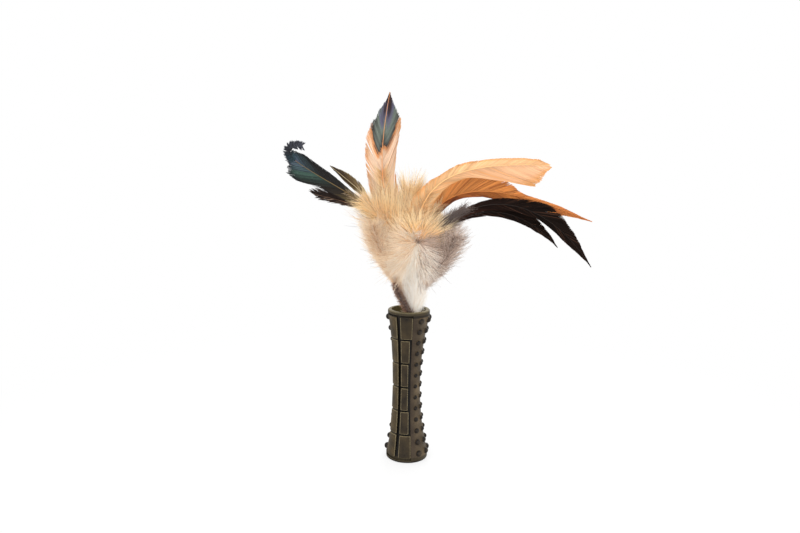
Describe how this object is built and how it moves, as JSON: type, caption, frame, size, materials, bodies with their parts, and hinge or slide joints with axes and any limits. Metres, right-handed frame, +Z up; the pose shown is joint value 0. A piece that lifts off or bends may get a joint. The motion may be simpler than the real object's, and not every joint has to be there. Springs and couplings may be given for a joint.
{
  "type": "cat teaser wand",
  "caption": "Waisted hollow rubber handle with raised tiles and nubs that stands on its foot and holds a pull-out bundle of feathers, downy plumes and a fuzzy chenille stem.",
  "frame": {"origin": "centre of the open foot, on the plane the handle stands on", "axes": "+Z up the handle's axis, +X to the side of the long drooping feathers, -Y towards the viewer of the picture"},
  "size_m": [0.1937, 0.0613, 0.237],
  "materials": {
    "rubber": "semi-gloss moulded rubber",
    "plug_plastic": "moulded plastic",
    "glue": "set glue",
    "thread": "cotton thread",
    "feather_peach": "feather",
    "feather_green": "iridescent feather",
    "feather_olive": "feather",
    "feather_brown": "feather",
    "feather_pale": "feather",
    "feather_rust": "feather",
    "feather_black": "feather",
    "down_cream": "down",
    "down_grey": "down",
    "wire": "twisted wire",
    "pile": "chenille pile"
  },
  "bodies": {
    "handle": {"rubber_sleeve": "rubber"},
    "bundle": {"bundle_plug": "plug_plastic", "glue_fill": "glue", "binding_thread": "thread", "upright_feather": "feather_peach", "iridescent_feather": "feather_green", "olive_feather": "feather_olive", "dark_left_feather": "feather_brown", "pale_feather": "feather_pale", "rust_feather": "feather_rust", "black_upper_feather": "feather_black", "black_lower_feather": "feather_black", "front_plume": "down_cream", "front_left_plume": "down_cream", "front_right_plume": "down_grey", "back_plume": "down_cream", "back_left_plume": "down_cream", "back_right_plume": "down_grey", "chenille_core": "wire", "chenille_pile": "pile"}
  },
  "joints": [
    {"name": "bundle_pull", "type": "slide", "parent": "handle", "child": "bundle", "axis": [0, 0, 1], "range_m": [0, 0.06]}
  ]
}
